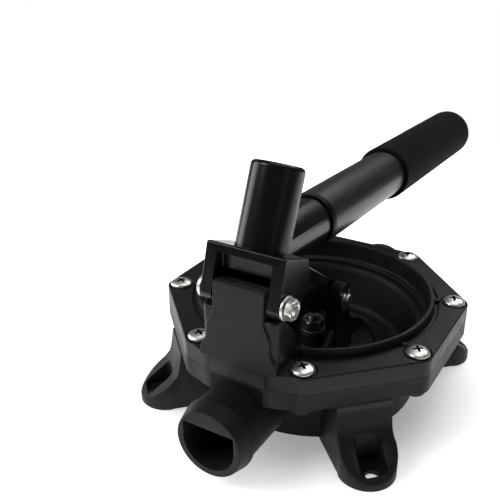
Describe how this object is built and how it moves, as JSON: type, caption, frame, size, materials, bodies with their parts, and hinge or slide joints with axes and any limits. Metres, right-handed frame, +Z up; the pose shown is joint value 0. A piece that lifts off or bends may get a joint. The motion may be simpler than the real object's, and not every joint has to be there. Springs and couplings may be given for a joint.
{
  "type": "bilge pump",
  "caption": "Hand-operated diaphragm bilge pump: footed bowl with two hose ports, octagonal clamp ring, rocking lever with two spigots and a pull-off foam-grip handle.",
  "frame": {"origin": "centre of the bowl's underside, level with the undersides of the feet", "axes": "+Z up through the bowl; -Y to the outlet port and the lever's pillar, +Y to the inlet port and the handle's end; X along the lever's hinge"},
  "size_m": [0.136, 0.2997, 0.1276],
  "materials": {
    "moulded_black": "satin moulded",
    "gloss_black": "gloss moulded",
    "anodised_tube": "satin black anodised",
    "foam": "matte foam",
    "rubber": "matte",
    "stainless": "bright"
  },
  "bodies": {
    "pump": {"pump_body": "moulded_black", "clamp_ring": "moulded_black", "ring_screw_1": "stainless", "ring_screw_2": "stainless", "ring_screw_3": "stainless", "ring_screw_4": "stainless", "ring_screw_5": "stainless", "ring_screw_6": "stainless", "ring_screw_7": "stainless", "ring_screw_8": "stainless", "diaphragm": "rubber", "inlet_flap_pin": "stainless", "outlet_flap_pin": "stainless"},
    "lever": {"lever": "gloss_black", "hinge_bolt": "stainless", "hinge_washer": "stainless", "hinge_nut": "stainless"},
    "plate": {"diaphragm_fork": "moulded_black", "diaphragm_backing_plate": "moulded_black", "centre_bolt": "stainless", "centre_washer": "stainless", "centre_nut": "stainless", "clevis_pin": "stainless", "clevis_pin_clip": "stainless"},
    "handle": {"handle_tube": "anodised_tube", "handle_end_ring": "moulded_black", "handle_grip": "foam"},
    "inlet_flap": {"inlet_flap": "rubber"},
    "outlet_flap": {"outlet_flap": "rubber"}
  },
  "joints": [
    {"name": "lever_hinge", "type": "hinge", "parent": "pump", "child": "lever", "pos_m": [0, -0.0648, 0.0755], "axis": [1, 0, 0], "range_deg": [-5, 22]},
    {"name": "plate_slide", "type": "slide", "parent": "pump", "child": "plate", "axis": [0, 0.2571, 0.9664], "range_m": [-0.0065, 0.0275], "deforming": ["diaphragm"]},
    {"name": "handle_slide", "type": "slide", "parent": "lever", "child": "handle", "axis": [0, 0.9987, -0.0506], "range_m": [0, 0.041]},
    {"name": "inlet_flap_hinge", "type": "hinge", "parent": "pump", "child": "inlet_flap", "pos_m": [0, 0.0695, 0.026], "axis": [1, 0, 0], "range_deg": [-55, 0]},
    {"name": "outlet_flap_hinge", "type": "hinge", "parent": "pump", "child": "outlet_flap", "pos_m": [0, -0.0605, 0.026], "axis": [1, 0, 0], "range_deg": [-55, 0]}
  ],
  "couplings": [
    {"joint": "plate_slide", "follows": "lever_hinge", "m_per_rad": 0.0692}
  ]
}
